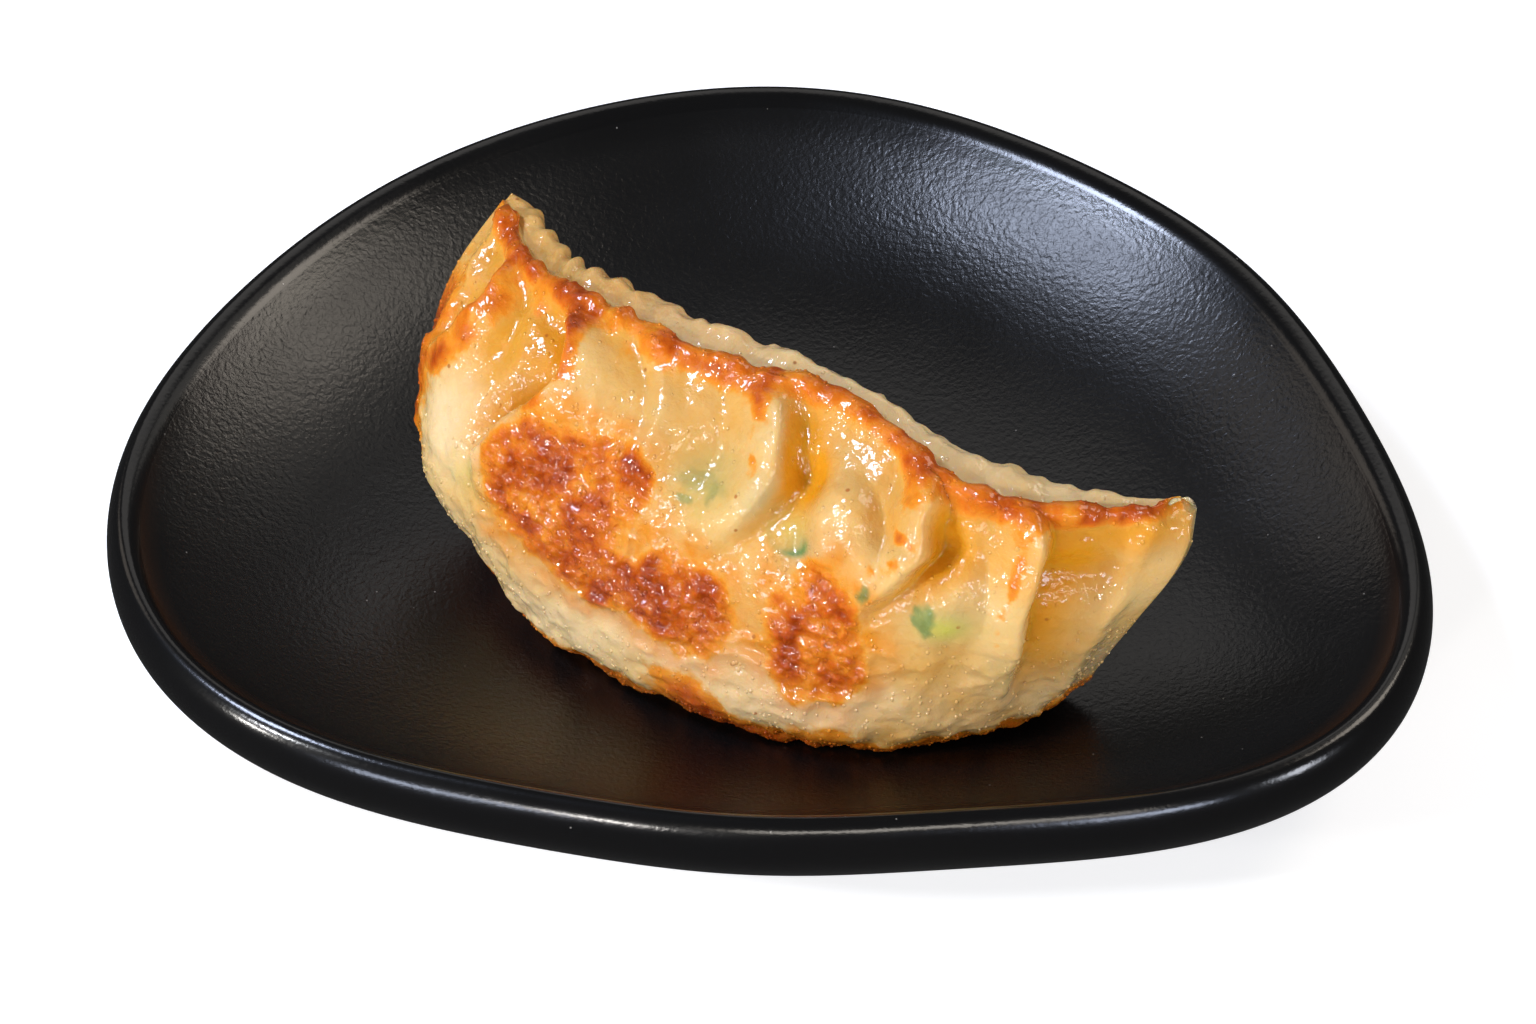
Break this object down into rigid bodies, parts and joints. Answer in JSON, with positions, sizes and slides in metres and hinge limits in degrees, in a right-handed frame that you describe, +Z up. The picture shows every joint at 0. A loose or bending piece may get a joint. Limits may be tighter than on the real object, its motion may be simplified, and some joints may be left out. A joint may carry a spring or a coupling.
{
  "type": "plate of fried mandu",
  "caption": "Small pebble-shaped coupe plate with one pan-fried, pleated half-moon dumpling standing on its browned base.",
  "frame": {"origin": "on the table under the middle of the plate's bounding box", "axes": "+X along the plate's longest side, +Y from the pleated side of the mandu towards its back, +Z up"},
  "size_m": [0.1496, 0.1252, 0.0453],
  "materials": {
    "plate_glaze": null,
    "fried_dough": null
  },
  "bodies": {
    "root": {"plate": "plate_glaze", "mandu": "fried_dough"}
  },
  "joints": []
}
